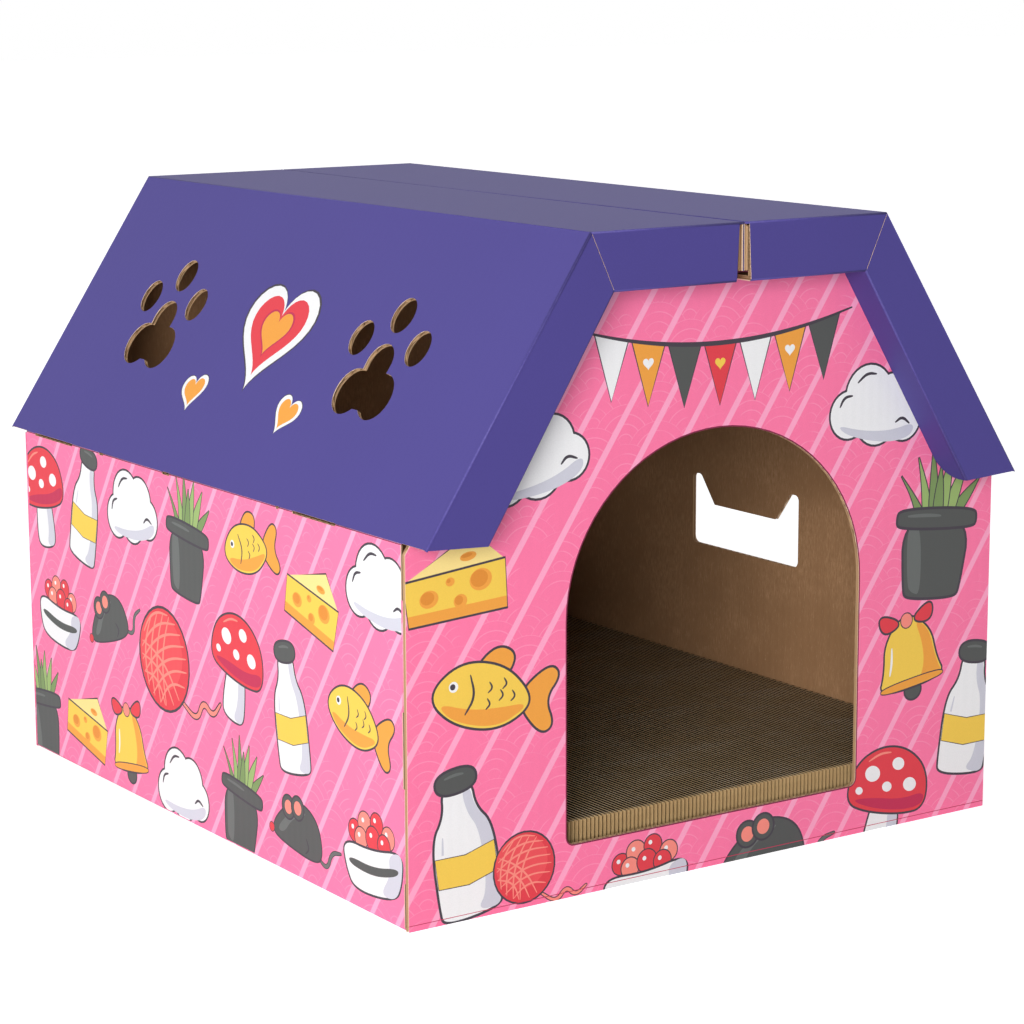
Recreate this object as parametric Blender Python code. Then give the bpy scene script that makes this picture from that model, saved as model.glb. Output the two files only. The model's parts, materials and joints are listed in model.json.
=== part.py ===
# Cardboard cat house: a house of folded corrugated board with a two-pitch roof and a scratch pad for a floor.
# Metres. X runs across the front, Y runs from the doorway to the back, Z is up.
# The origin is on the floor under the middle of the roof.

import math

import bmesh
import bpy
from mathutils import Matrix, Vector

for leftover in list(bpy.data.objects):
    bpy.data.objects.remove(leftover, do_unlink=True)

# Board
BOARD = 0.0026  # thickness of the single-wall board
FIT = 0.0003  # air between two pieces that touch

# House body
BODY_WIDTH = 0.400
BODY_DEPTH = 0.446
EAVE_HEIGHT = 0.2034  # the crease between a side wall and its slope
ROOF_HEIGHT = 0.3561
TOP_WIDTH = 0.1982  # both level halves of the roof together
ROOF_OVERHANG = 0.0195  # past the front wall, and past the back wall

# Doorway in the front wall
DOOR_WIDTH = 0.201
DOOR_SILL = 0.029
DOOR_SPRING = 0.150  # height where the arch leaves the jambs
DOOR_RISE = 0.0945  # height of the arch above its spring
DOOR_CORNER_RADIUS = 0.0045

# Window in the right side wall: a cat's head, from its chin line to its ear tips
WINDOW_WIDTH = 0.1076
WINDOW_CHIN_HEIGHT = 0.114
WINDOW_BROW_HEIGHT = 0.142
WINDOW_EAR_HEIGHT = 0.1605
WINDOW_EAR_BASE = 0.0228  # how far an ear reaches in along the brow
WINDOW_EAR_TIP = 0.0085  # width of an ear across its blunt tip
WINDOW_CHIN_RADIUS = 0.0045
WINDOW_EAR_RADIUS = 0.0035

# Paw prints cut through the slopes, measured up the slope from the eave crease
PAW_SPACING = 0.2462
PAW_SHIFT = 0.0047  # the pair sits this far behind the middle
PAW_LOBE_LIFT = 0.0725  # centres of the pad's two lower lobes
PAW_LOBE_RADIUS = 0.014
PAW_LOBE_SPREAD = 0.0134
PAW_CROWN_LIFT = 0.0912  # centre of the pad's upper lobe
PAW_CROWN_RADIUS = 0.012
PAW_NOTCH_LIFT = 0.063
PAW_TOE_WIDTH = 0.0197
PAW_TOE_LENGTH = 0.0217
PAW_TOE_SPREAD = 0.0287
PAW_TOE_LIFT = 0.1037
PAW_MIDDLE_TOE_LIFT = 0.1207

# Ridge flaps, which hang from the two level halves and stand side by side on the gable walls
RIDGE_GAP = 0.0008
RIDGE_FLAP_DEPTH = 0.0258
RIDGE_FLAP_SET_BACK = 0.0008  # behind the face of the fascias

# Hems: each roof panel ends in a fascia and a return that folds back to the gable wall
FASCIA_DROP = 0.0316  # of the level fascias
FASCIA_WIDTH_AT_BEND = 0.0298  # of the sloping fascias, square to the slope
FASCIA_WIDTH_AT_EAVE = 0.0330
FASCIA_FOOT_DROP = 0.0020  # the foot of a sloping fascia runs almost level
FASCIA_END_FLARE = 0.0016  # the level fascias part towards their lower edge
RETURN_FOOT_RADIUS = 0.0135

# Flaps that fold in from the side walls
CORNER_FLAP_WIDTH = 0.060
CORNER_FLAP_TAPER = 0.012
CORNER_FLAP_TOP_GAP = 0.010  # below the eave crease
BOTTOM_FLAP_WIDTH = 0.070
BOTTOM_FLAP_TAPER = 0.012

# Scratch pad of corrugated strips on edge, glued side by side
PAD_TOP = 0.0384  # above the floor
PAD_SIDE_GAP = 0.0006
PAD_END_GAP = 0.0062  # to the inner faces of the front and back walls
PAD_STRIP = 0.00266  # pitch of the strips
PAD_RIB = 0.0008  # depth of the grooves between strips at the two ends

# Working values: how far a cutter reaches past a board's face, and the size of the mark on a crease
CUTTER_REACH = 4 * BOARD
CREASE_MARK = 0.02

# Fineness of the curves
ARCH_STEPS = 36
CORNER_STEPS = 5
TOE_STEPS = 24
PAW_STEPS = 60

PINK = (0.98, 0.25, 0.42)
PURPLE = (0.13, 0.10, 0.36)
KRAFT = (0.42, 0.26, 0.13)
SAND = (0.45, 0.31, 0.14)

# Places that several pieces share
HALF_WIDTH = BODY_WIDTH / 2
HALF_DEPTH = BODY_DEPTH / 2
ROOF_END = HALF_DEPTH + ROOF_OVERHANG
SLOPE_RUN = HALF_WIDTH - TOP_WIDTH / 2
SLOPE_RISE = ROOF_HEIGHT - EAVE_HEIGHT
SLOPE_LENGTH = math.hypot(SLOPE_RUN, SLOPE_RISE)
PITCH = math.atan2(SLOPE_RISE, SLOPE_RUN)
EAVE_FOLD = math.pi / 2 - PITCH
SQUARE_FOLD = math.pi / 2
INSIDE_END = HALF_DEPTH - BOARD - FIT  # where the side walls stop behind the gable walls
INSIDE_SIDE = HALF_WIDTH - BOARD - FIT
BASE_UNDERSIDE = BOARD + FIT  # the base panel lies on the bottom flaps
BASE_TOP = BASE_UNDERSIDE + BOARD
FASCIA_BEND_HEIGHT = ROOF_HEIGHT - FASCIA_DROP
FLAP_BACK = RIDGE_GAP / 2 + BOARD  # the ridge flap's face on its own side of the ridge


def paint(piece, colour, roughness=0.6):
    material = bpy.data.materials.new(piece.name)
    material.use_nodes = True
    shader = material.node_tree.nodes["Principled BSDF"]
    shader.inputs["Base Color"].default_value = (*colour, 1)
    shader.inputs["Roughness"].default_value = roughness
    shader.inputs["Metallic"].default_value = 0
    piece.data.materials.append(material)


def object_from(name, shape):
    mesh = bpy.data.meshes.new(name)
    bmesh.ops.recalc_face_normals(shape, faces=shape.faces)
    shape.to_mesh(mesh)
    shape.free()
    piece = bpy.data.objects.new(name, mesh)
    bpy.context.collection.objects.link(piece)
    return piece


def between(shape, first, second):
    """Closes a solid between two outlines that have the same number of corners."""
    near = [shape.verts.new(point) for point in first]
    far = [shape.verts.new(point) for point in second]
    shape.faces.new(near)
    shape.faces.new(far)
    for i in range(len(near)):
        shape.faces.new((near[i - 1], near[i], far[i], far[i - 1]))


def drawn_in(outline, amounts):
    """The outline with each edge, which starts at its corner, moved inwards by its own amount."""
    normal = sum((outline[i - 1].cross(corner) for i, corner in enumerate(outline)), Vector()).normalized()
    moved = []
    for i, corner in enumerate(outline):
        behind = normal.cross(corner - outline[i - 1]).normalized()
        ahead = normal.cross(outline[(i + 1) % len(outline)] - corner).normalized()
        in_line = behind.dot(ahead)
        last, here = amounts[i - 1], amounts[i]
        if in_line > 0.9999:
            moved.append(corner + ahead * here)
            continue
        share = 1 / (1 - in_line**2)
        moved.append(corner + behind * (last - in_line * here) * share + ahead * (here - in_line * last) * share)
    return moved


def board(name, outline, inward, colour, folds=None):
    """A flat piece of board. The outline is its printed face, drawn to the crease lines, and inward points
    through the board. An edge with a fold, in radians, stands back from its crease and is mitred."""
    folds = folds or [0] * len(outline)
    gaps = [FIT / 2 / math.cos(fold / 2) if fold else 0 for fold in folds]
    mitres = [gap + BOARD * math.tan(fold / 2) for gap, fold in zip(gaps, folds)]
    shape = bmesh.new()
    thickness = inward.normalized() * BOARD
    between(shape, drawn_in(outline, gaps), [point + thickness for point in drawn_in(outline, mitres)])
    piece = object_from(name, shape)
    paint(piece, colour)
    return piece


def rounded(corners, radii):
    """The outline with an arc of each corner's radius in its place."""
    outline = []
    for i, (corner, radius) in enumerate(zip(corners, radii)):
        if not radius:
            outline.append(corner)
            continue
        back = (corners[i - 1] - corner).normalized()
        ahead = (corners[(i + 1) % len(corners)] - corner).normalized()
        half = back.angle(ahead) / 2
        centre = corner + (back + ahead).normalized() * radius / math.sin(half)
        start = corner + back * radius / math.tan(half) - centre
        end = corner + ahead * radius / math.tan(half) - centre
        turn = start.angle(end)
        for step in range(CORNER_STEPS + 1):
            share = step / CORNER_STEPS
            arm = start * math.sin((1 - share) * turn) + end * math.sin(share * turn)
            outline.append(centre + arm / math.sin(turn))
    return outline


def stand(piece, point):
    """Puts the piece's origin at a point of the house."""
    piece.data.transform(Matrix.Translation(-point))
    piece.location = point


def crease(name, point, parent=None):
    """An empty on a crease line: what folds about the line hangs from it."""
    empty = bpy.data.objects.new(name, None)
    empty.empty_display_size = CREASE_MARK
    bpy.context.collection.objects.link(empty)
    empty["point"] = point
    empty.parent = parent
    empty.location = point - Vector(parent["point"]) if parent else point
    return empty


def fold_in(piece, empty):
    """Makes the piece turn with a crease: its origin is on the crease line."""
    piece.data.transform(Matrix.Translation(-Vector(empty["point"])))
    piece.parent = empty


def punch(piece, name, outline, through):
    """Cuts a hole of that outline through the piece. The cutter reaches along through to both sides."""
    shape = bmesh.new()
    between(shape, [point - through for point in outline], [point + through for point in outline])
    tool = object_from(name, shape)
    tool.hide_render = True
    tool.display_type = "WIRE"
    if piece.parent:
        fold_in(tool, piece.parent)
    cut = piece.modifiers.new(name, "BOOLEAN")
    cut.operation = "DIFFERENCE"
    cut.solver = "EXACT"
    cut.object = tool


def ellipse(centre, along, up, steps):
    turns = (2 * math.pi * step / steps for step in range(steps))
    return [centre + along * math.cos(turn) + up * math.sin(turn) for turn in turns]


# Gable walls: one board each, cut to lie just under the slopes, with a flat top that the ridge flaps stand on
def gable_outline(end):
    """Half of the outline, bottom to top, then its mirror image."""
    shoulder = EAVE_HEIGHT - (BOARD + FIT) / math.cos(PITCH)
    flat_top = ROOF_HEIGHT - RIDGE_FLAP_DEPTH - FIT
    half = [
        (HALF_WIDTH, 0),
        (HALF_WIDTH, shoulder),
        (HALF_WIDTH - (flat_top - shoulder) / math.tan(PITCH), flat_top),
    ]
    return [Vector((x, end, z)) for x, z in half + [(-x, z) for x, z in reversed(half)]]


def door_outline(end):
    radius = DOOR_WIDTH / 2
    sill = [Vector((-radius, end, DOOR_SILL)), Vector((radius, end, DOOR_SILL))]
    head = [Vector((radius, end, DOOR_SPRING)), Vector((-radius, end, DOOR_SPRING))]
    foot = rounded([*sill, *head], [DOOR_CORNER_RADIUS, DOOR_CORNER_RADIUS, 0, 0])[:-2]
    turns = [math.pi * step / ARCH_STEPS for step in range(ARCH_STEPS + 1)]
    arch = [(radius * math.cos(turn), DOOR_SPRING + DOOR_RISE * math.sin(turn)) for turn in turns]
    return foot + [Vector((x, end, z)) for x, z in arch]


front_wall = board("front_wall", gable_outline(-HALF_DEPTH), Vector((0, 1, 0)), PINK)
stand(front_wall, Vector((0, -HALF_DEPTH, 0)))
punch(front_wall, "doorway_cutter", door_outline(-HALF_DEPTH), Vector((0, CUTTER_REACH, 0)))

back_wall = board("back_wall", gable_outline(HALF_DEPTH), Vector((0, -1, 0)), PINK)
stand(back_wall, Vector((0, HALF_DEPTH, 0)))


# Side walls, each with two corner flaps glued behind the gable walls and a bottom flap under the base panel
def window_outline(x):
    half = WINDOW_WIDTH / 2
    right = [
        (half, WINDOW_CHIN_HEIGHT),
        (half, WINDOW_EAR_HEIGHT),
        (half - WINDOW_EAR_TIP, WINDOW_EAR_HEIGHT),
        (half - WINDOW_EAR_BASE, WINDOW_BROW_HEIGHT),
    ]
    radii = [WINDOW_CHIN_RADIUS, WINDOW_EAR_RADIUS, WINDOW_EAR_RADIUS, 0]
    corners = [Vector((x, y, z)) for y, z in right + [(-y, z) for y, z in reversed(right)]]
    return rounded(corners, radii + radii[::-1])


def side_name(side):
    return "right" if side > 0 else "left"


def end_name(end):
    return "back" if end > 0 else "front"


side_walls = {}
for side in (-1, 1):
    outer = side * HALF_WIDTH
    wall = board(
        side_name(side) + "_side_wall",
        [
            Vector((outer, -INSIDE_END, 0)),
            Vector((outer, INSIDE_END, 0)),
            Vector((outer, INSIDE_END, EAVE_HEIGHT)),
            Vector((outer, -INSIDE_END, EAVE_HEIGHT)),
        ],
        Vector((-side, 0, 0)),
        PINK,
        [SQUARE_FOLD, SQUARE_FOLD, EAVE_FOLD, SQUARE_FOLD],
    )
    stand(wall, Vector((outer, 0, 0)))
    side_walls[side] = wall

    inner = outer - side * BOTTOM_FLAP_WIDTH
    flap = board(
        side_name(side) + "_bottom_flap",
        [
            Vector((outer, -INSIDE_END, 0)),
            Vector((outer, INSIDE_END, 0)),
            Vector((inner, INSIDE_END - BOTTOM_FLAP_TAPER, 0)),
            Vector((inner, -INSIDE_END + BOTTOM_FLAP_TAPER, 0)),
        ],
        Vector((0, 0, 1)),
        KRAFT,
        [SQUARE_FOLD, 0, 0, 0],
    )
    stand(flap, Vector((outer, 0, 0)))

    inner = outer - side * CORNER_FLAP_WIDTH
    flap_top = EAVE_HEIGHT - CORNER_FLAP_TOP_GAP
    flap_foot = BASE_TOP + FIT
    for end in (-1, 1):
        flap = board(
            f"{side_name(side)}_{end_name(end)}_corner_flap",
            [
                Vector((outer, end * INSIDE_END, flap_foot)),
                Vector((outer, end * INSIDE_END, flap_top)),
                Vector((inner, end * INSIDE_END, flap_top - CORNER_FLAP_TAPER)),
                Vector((inner, end * INSIDE_END, flap_foot + CORNER_FLAP_TAPER)),
            ],
            Vector((0, -end, 0)),
            KRAFT,
            [SQUARE_FOLD, 0, 0, 0],
        )
        stand(flap, Vector((outer, end * INSIDE_END, 0)))

punch(side_walls[1], "window_cutter", window_outline(HALF_WIDTH), Vector((CUTTER_REACH, 0, 0)))

# Base panel: lies on the two bottom flaps, between the four walls
base_panel = board(
    "base_panel",
    [
        Vector((-INSIDE_SIDE, -INSIDE_END, BASE_UNDERSIDE)),
        Vector((INSIDE_SIDE, -INSIDE_END, BASE_UNDERSIDE)),
        Vector((INSIDE_SIDE, INSIDE_END, BASE_UNDERSIDE)),
        Vector((-INSIDE_SIDE, INSIDE_END, BASE_UNDERSIDE)),
    ],
    Vector((0, 0, 1)),
    KRAFT,
)
stand(base_panel, Vector((0, 0, BASE_UNDERSIDE)))


# Scratch pad: its two ends show the edge of every strip as a rib
def pad_outline(height):
    half_width = INSIDE_SIDE + FIT - PAD_SIDE_GAP
    half_depth = HALF_DEPTH - BOARD - PAD_END_GAP
    strips = round(2 * half_width / PAD_STRIP)
    pitch = 2 * half_width / strips
    front = [(-half_width, -half_depth + PAD_RIB)]
    for strip in range(strips):
        left = -half_width + strip * pitch
        front += [(left + pitch / 2, -half_depth), (left + pitch, -half_depth + PAD_RIB)]
    back = [(x, -y) for x, y in reversed(front)]
    return [Vector((x, y, height)) for x, y in front + back]


pad_shape = bmesh.new()
between(pad_shape, pad_outline(BASE_TOP + FIT), pad_outline(PAD_TOP))
scratch_pad = object_from("scratch_pad", pad_shape)
paint(scratch_pad, SAND, 0.9)
stand(scratch_pad, Vector((0, 0, BASE_TOP + FIT)))


# Paw prints
def paw_pad_outline(spot):
    """The pad is three round lobes and the board between them, read off at even angles about its middle.
    Spot turns a place across and up the slope into a point on it."""
    lobes = [(side * PAW_LOBE_SPREAD, PAW_LOBE_LIFT, PAW_LOBE_RADIUS) for side in (-1, 1)]
    lobes.append((0, PAW_CROWN_LIFT, PAW_CROWN_RADIUS))
    middle = PAW_LOBE_LIFT + PAW_LOBE_RADIUS / 4
    low = middle - PAW_NOTCH_LIFT
    high = PAW_LOBE_LIFT + PAW_LOBE_RADIUS - middle
    outline = []
    for step in range(PAW_STEPS):
        turn = 2 * math.pi * step / PAW_STEPS
        across, up = math.cos(turn), math.sin(turn)
        reach = min(
            PAW_LOBE_SPREAD / max(abs(across), 1e-6),
            (high if up > 0 else low) / max(abs(up), 1e-6),
        )
        for place, lift, radius in lobes:
            along = place * across + (lift - middle) * up
            inside = along**2 - place**2 - (lift - middle) ** 2 + radius**2
            if inside > 0:
                reach = max(reach, along + math.sqrt(inside))
        outline.append(spot(reach * across, middle + reach * up))
    return outline


def cut_paw(slope, side, middle, outward, slope_place):
    def spot(across, up):
        return slope_place(middle + across, up)

    name = f"{side_name(side)}_{end_name(middle)}_paw"
    through = outward * CUTTER_REACH
    toe_width = (spot(1, 0) - spot(0, 0)) * PAW_TOE_WIDTH / 2
    toe_length = (spot(0, 1) - spot(0, 0)) * PAW_TOE_LENGTH / 2
    toes = [(-PAW_TOE_SPREAD, PAW_TOE_LIFT), (0, PAW_MIDDLE_TOE_LIFT), (PAW_TOE_SPREAD, PAW_TOE_LIFT)]
    for number, (across, up) in enumerate(toes, 1):
        toe = ellipse(spot(across, up), toe_width, toe_length, TOE_STEPS)
        punch(slope, f"{name}_toe_{number}_cutter", toe, through)
    punch(slope, f"{name}_pad_cutter", paw_pad_outline(spot), through)


# Roof: one half a side, hung from the eave crease. The level half hangs from the bend, the flap from the ridge.
for side in (-1, 1):
    up_slope = Vector((-side * math.cos(PITCH), 0, math.sin(PITCH)))
    outward = Vector((side * math.sin(PITCH), 0, math.cos(PITCH)))
    eave = Vector((side * HALF_WIDTH, 0, EAVE_HEIGHT))
    bend = Vector((side * TOP_WIDTH / 2, 0, ROOF_HEIGHT))
    ridge = Vector((side * RIDGE_GAP / 2, 0, ROOF_HEIGHT))
    name = side_name(side)
    eave_crease = crease(name + "_eave_crease", eave)
    bend_crease = crease(name + "_bend_crease", bend, eave_crease)
    ridge_crease = crease(name + "_ridge_crease", ridge, bend_crease)

    def at(point, y):
        return Vector((point.x, y, point.z))

    def slope_place(y, distance):
        return at(eave + up_slope * distance, y)

    slope = board(
        name + "_roof_slope",
        [at(eave, -ROOF_END), at(eave, ROOF_END), at(bend, ROOF_END), at(bend, -ROOF_END)],
        -outward,
        PURPLE,
        [EAVE_FOLD, SQUARE_FOLD, PITCH, SQUARE_FOLD],
    )
    fold_in(slope, eave_crease)
    for end in (-1, 1):
        cut_paw(slope, side, PAW_SHIFT + end * PAW_SPACING / 2, outward, slope_place)

    top = board(
        name + "_roof_top",
        [at(bend, -ROOF_END), at(bend, ROOF_END), at(ridge, ROOF_END), at(ridge, -ROOF_END)],
        Vector((0, 0, -1)),
        PURPLE,
        [PITCH, SQUARE_FOLD, SQUARE_FOLD, SQUARE_FOLD],
    )
    fold_in(top, bend_crease)

    flap_end = ROOF_END - RIDGE_FLAP_SET_BACK
    flap_foot = ridge - Vector((0, 0, RIDGE_FLAP_DEPTH))
    ridge_flap = board(
        name + "_ridge_flap",
        [at(ridge, -flap_end), at(ridge, flap_end), at(flap_foot, flap_end), at(flap_foot, -flap_end)],
        Vector((side, 0, 0)),
        PURPLE,
        [SQUARE_FOLD, 0, 0, 0],
    )
    fold_in(ridge_flap, ridge_crease)

    # The hem's inner corners, in the plane of a fascia
    inner_bend_distance = SLOPE_LENGTH + (FASCIA_WIDTH_AT_BEND * math.cos(PITCH) - FASCIA_DROP) / math.sin(PITCH)
    inner_bend = eave + up_slope * inner_bend_distance - outward * FASCIA_WIDTH_AT_BEND
    foot_distance = (FASCIA_WIDTH_AT_EAVE * math.cos(PITCH) - FASCIA_FOOT_DROP) / math.sin(PITCH)
    inner_foot = eave + up_slope * foot_distance - outward * FASCIA_WIDTH_AT_EAVE
    hem_line = (inner_foot - inner_bend).normalized()
    hem_outward = Vector((-side * hem_line.z, 0, side * hem_line.x))
    fascia_top_end = Vector((side * (FLAP_BACK + FIT), 0, ROOF_HEIGHT))
    fascia_low_end = Vector((side * (FLAP_BACK + FIT + FASCIA_END_FLARE), 0, FASCIA_BEND_HEIGHT))
    mitre_back = (bend - inner_bend).normalized().cross(Vector((0, 1, 0))) * side * FIT / 2

    for end in (-1, 1):
        face = end * ROOF_END
        wall_face = end * (HALF_DEPTH + FIT)
        into_hem = Vector((0, -end, 0))
        where = end_name(end)
        pieces = {
            "slope_fascia": board(
                f"{name}_{where}_slope_fascia",
                [
                    at(eave, face),
                    at(bend - mitre_back, face),
                    at(inner_bend - mitre_back, face),
                    at(inner_foot, face),
                ],
                into_hem,
                PURPLE,
                [SQUARE_FOLD, 0, SQUARE_FOLD, 0],
            ),
            "slope_return": board(
                f"{name}_{where}_slope_return",
                rounded(
                    [
                        at(inner_bend + hem_line * FIT / 2, face),
                        at(inner_foot, face),
                        at(inner_foot, wall_face),
                        at(inner_bend + hem_line * FIT / 2, wall_face),
                    ],
                    [0, 0, RETURN_FOOT_RADIUS, 0],
                ),
                hem_outward,
                PURPLE,
                [SQUARE_FOLD] + [0] * (CORNER_STEPS + 3),
            ),
            "top_fascia": board(
                f"{name}_{where}_top_fascia",
                [
                    at(bend + mitre_back, face),
                    at(fascia_top_end, face),
                    at(fascia_low_end, face),
                    at(inner_bend + mitre_back, face),
                ],
                into_hem,
                PURPLE,
                [SQUARE_FOLD, 0, SQUARE_FOLD, 0],
            ),
            "top_return": board(
                f"{name}_{where}_top_return",
                [
                    at(fascia_low_end, face),
                    at(inner_bend - Vector((side * FIT / 2, 0, 0)), face),
                    at(inner_bend - Vector((side * FIT / 2, 0, 0)), wall_face),
                    at(fascia_low_end, wall_face),
                ],
                Vector((0, 0, 1)),
                PURPLE,
                [SQUARE_FOLD, 0, 0, 0],
            ),
        }
        for kind, piece in pieces.items():
            fold_in(piece, eave_crease if kind.startswith("slope") else bend_crease)
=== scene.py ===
import json
import math
import random

import bmesh
import bpy
from mathutils import Matrix, Vector, geometry

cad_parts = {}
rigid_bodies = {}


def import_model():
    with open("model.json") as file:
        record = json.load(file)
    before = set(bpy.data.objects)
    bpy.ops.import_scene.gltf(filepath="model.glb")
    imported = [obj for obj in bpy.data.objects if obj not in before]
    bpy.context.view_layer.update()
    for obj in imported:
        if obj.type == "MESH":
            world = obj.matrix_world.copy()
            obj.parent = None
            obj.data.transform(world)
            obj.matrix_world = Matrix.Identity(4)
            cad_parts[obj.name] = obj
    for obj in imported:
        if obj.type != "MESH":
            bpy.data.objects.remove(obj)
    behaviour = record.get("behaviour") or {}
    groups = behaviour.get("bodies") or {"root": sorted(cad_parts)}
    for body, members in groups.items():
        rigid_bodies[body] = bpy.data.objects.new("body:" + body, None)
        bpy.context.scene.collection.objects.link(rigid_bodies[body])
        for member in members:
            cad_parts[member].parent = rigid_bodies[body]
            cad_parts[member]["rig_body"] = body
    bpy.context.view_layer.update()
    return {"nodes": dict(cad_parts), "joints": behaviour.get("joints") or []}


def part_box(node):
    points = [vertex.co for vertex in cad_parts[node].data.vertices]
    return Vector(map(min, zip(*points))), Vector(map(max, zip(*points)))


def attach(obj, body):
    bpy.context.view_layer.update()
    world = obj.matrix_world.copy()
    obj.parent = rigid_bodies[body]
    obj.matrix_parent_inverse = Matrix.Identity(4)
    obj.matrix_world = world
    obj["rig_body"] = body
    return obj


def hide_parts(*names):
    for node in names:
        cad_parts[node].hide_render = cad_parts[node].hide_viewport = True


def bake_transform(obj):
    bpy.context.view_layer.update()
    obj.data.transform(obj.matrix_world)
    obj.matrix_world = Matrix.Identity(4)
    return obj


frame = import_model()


# Bottom flaps and base panel: raw single-wall board, a wavy medium glued between two flat kraft liners.
# The flaps fold in under the house from the side walls, and the panel lies on them.
LINER = 0.0003  # a flat liner's paper
MEDIUM = 0.0002  # the wavy medium's paper
GLUE_GAP = 0.00001  # left where the medium meets a liner
FLUTE_PITCH = 0.0064
FLUTE_STEPS = 10  # corners along one wave of the medium
FOLD_RADIUS = 0.0012  # of the outer liner where a panel is folded
MERGE = 0.000001  # corners closer than this are one
CUT_REACH = 0.0000001  # a cut that passes a corner this closely goes through it
SQUARE_ON = 0.99  # a face whose normal agrees this well with a direction looks that way
NEARLY_ON = 0.9  # the same, for a direction that is only roughly known
ACROSS_HOUSE = Vector((1, 0, 0))
BACKWARDS = Vector((0, 1, 0))
UP = Vector((0, 0, 1))

KRAFT = (0.475, 0.268, 0.137)
KRAFT_SHADE = (0.355, 0.19, 0.09)
KRAFT_LIGHT = (0.61, 0.385, 0.22)
CUT_TAN = (0.47, 0.30, 0.165)
# painted shade for the hollow of a cut edge, just behind the printed liner
CUT_PAINTED_SHADE = (0.27, 0.145, 0.07)
CUT_PALE = (0.88, 0.66, 0.48)
CUT_FIBRE = (0.95, 0.80, 0.64)

panels = frame["nodes"]


def put(tree, kind, sockets=None, **settings):
    """Adds a shader node. A socket takes a value, or another node's output."""
    made = tree.nodes.new("ShaderNode" + kind)
    for name, value in settings.items():
        setattr(made, name, value)
    for name, value in (sockets or {}).items():
        if isinstance(value, bpy.types.NodeSocket):
            tree.links.new(value, made.inputs[name])
        else:
            made.inputs[name].default_value = value
    return made


def mixed(tree, share, first, second, blend="MIX"):
    """A blend of two colours, each a colour or another node's output."""
    made = put(tree, "Mix", data_type="RGBA", blend_type=blend)
    for socket, value in zip((made.inputs[0], made.inputs[6], made.inputs[7]), (share, first, second)):
        if isinstance(value, bpy.types.NodeSocket):
            tree.links.new(value, socket)
        else:
            socket.default_value = value if isinstance(value, (int, float)) else (*value, 1)
    return made.outputs[2]


def calc(tree, operation, first, second=0.0):
    """One step of arithmetic in a material."""
    return put(tree, "Math", {0: first, 1: second}, operation=operation).outputs[0]


def stepped(tree, value, low, high):
    """0 at low, 1 at high, smooth between."""
    sockets = {"Value": value, "From Min": low, "From Max": high}
    return put(tree, "MapRange", sockets, interpolation_type="SMOOTHSTEP").outputs["Result"]


def noise(tree, place, scale, detail, roughness=0.5):
    """Cloudy values between 0 and 1."""
    sockets = {"Vector": place, "Scale": scale, "Detail": detail, "Roughness": roughness}
    return put(tree, "TexNoise", sockets).outputs["Fac"]


def fibres(tree, place, across, along, detail, roughness=0.5):
    """Noise drawn out along the flutes, as the paper's fibres are."""
    stretched = put(tree, "Mapping", {"Vector": place, "Scale": (across, along, 1.0)})
    return noise(tree, stretched.outputs["Vector"], 1.0, detail, roughness)


def paper(name, roughness, specular):
    """A paper material, its tree and shader, and the place across and along the flutes, in metres."""
    material = bpy.data.materials.new(name)
    material.use_nodes = True
    tree = material.node_tree
    shader = tree.nodes["Principled BSDF"]
    shader.inputs["Roughness"].default_value = roughness
    shader.inputs["Specular IOR Level"].default_value = specular
    place = put(tree, "UVMap", uv_map="panel").outputs["UV"]
    return material, tree, shader, place


def grained(tree, shader, place, colour, tooth, washboard):
    """Gives paper its tooth, its long fibres, and the faint ribs of the flutes under it."""
    body = put(tree, "TexCoord").outputs["Object"]
    rough = calc(tree, "ADD", noise(tree, body, 2600.0, 2.0), fibres(tree, place, 900.0, 160.0, 3.0))
    close = put(tree, "Bump", {"Height": rough, "Strength": tooth, "Distance": 0.0001})
    bands = 1 / FLUTE_PITCH / 10 * math.pi  # the texture repeats every pi / 10 / Scale
    waves = put(tree, "TexWave", {"Vector": place, "Scale": bands, "Distortion": 0.0}, bands_direction="X")
    ribs = {"Height": waves.outputs["Fac"], "Strength": washboard, "Distance": 0.0002}
    bump = put(tree, "Bump", {**ribs, "Normal": close.outputs["Normal"]})
    tree.links.new(bump.outputs["Normal"], shader.inputs["Normal"])
    tree.links.new(colour, shader.inputs["Base Color"])


def kraft_paper(name, base, shade, light, tooth=0.5, washboard=0.35, layered_with_painted_shade=False):
    """Brown paper: cloudy, with darker and lighter fibres and a few specks.
    On a board's cut edge the printed liner is a pale line, then comes a narrow band of painted shade where
    the flutes' hollows lie, then tan kraft deeper in."""
    material, tree, shader, place = paper(name, 0.86, 0.25)
    body = put(tree, "TexCoord").outputs["Object"]
    cloud = noise(tree, body, 28.0, 4.0, 0.6)
    fibre = fibres(tree, place, 850.0, 190.0, 4.0, 0.7)
    speck = put(tree, "TexVoronoi", {"Vector": body, "Scale": 420.0}).outputs["Distance"]
    toned = mixed(tree, stepped(tree, cloud, 0.3, 0.72), shade, base)
    toned = mixed(tree, stepped(tree, fibre, 0.62, 0.34), toned, shade)
    toned = mixed(tree, stepped(tree, fibre, 0.56, 0.82), toned, light)
    toned = mixed(tree, stepped(tree, speck, 0.16, 0.09), toned, shade)
    if layered_with_painted_shade:
        depth = put(tree, "Attribute", attribute_name="depth").outputs["Fac"]
        # painted shade: a dark band across the cut edge just behind the printed liner
        toned = mixed(tree, stepped(tree, depth, 0.16, 0.26), toned, CUT_PAINTED_SHADE)
        toned = mixed(tree, stepped(tree, depth, 0.36, 0.46), toned, CUT_TAN)
    grained(tree, shader, place, toned, tooth, washboard)
    return material


kraft_liner = kraft_paper("kraft_liner", KRAFT, KRAFT_SHADE, KRAFT_LIGHT)
cut_edge = kraft_paper("cut_edge", CUT_PALE, CUT_PALE, CUT_FIBRE, tooth=0.9, washboard=0.0, layered_with_painted_shade=True)


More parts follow.
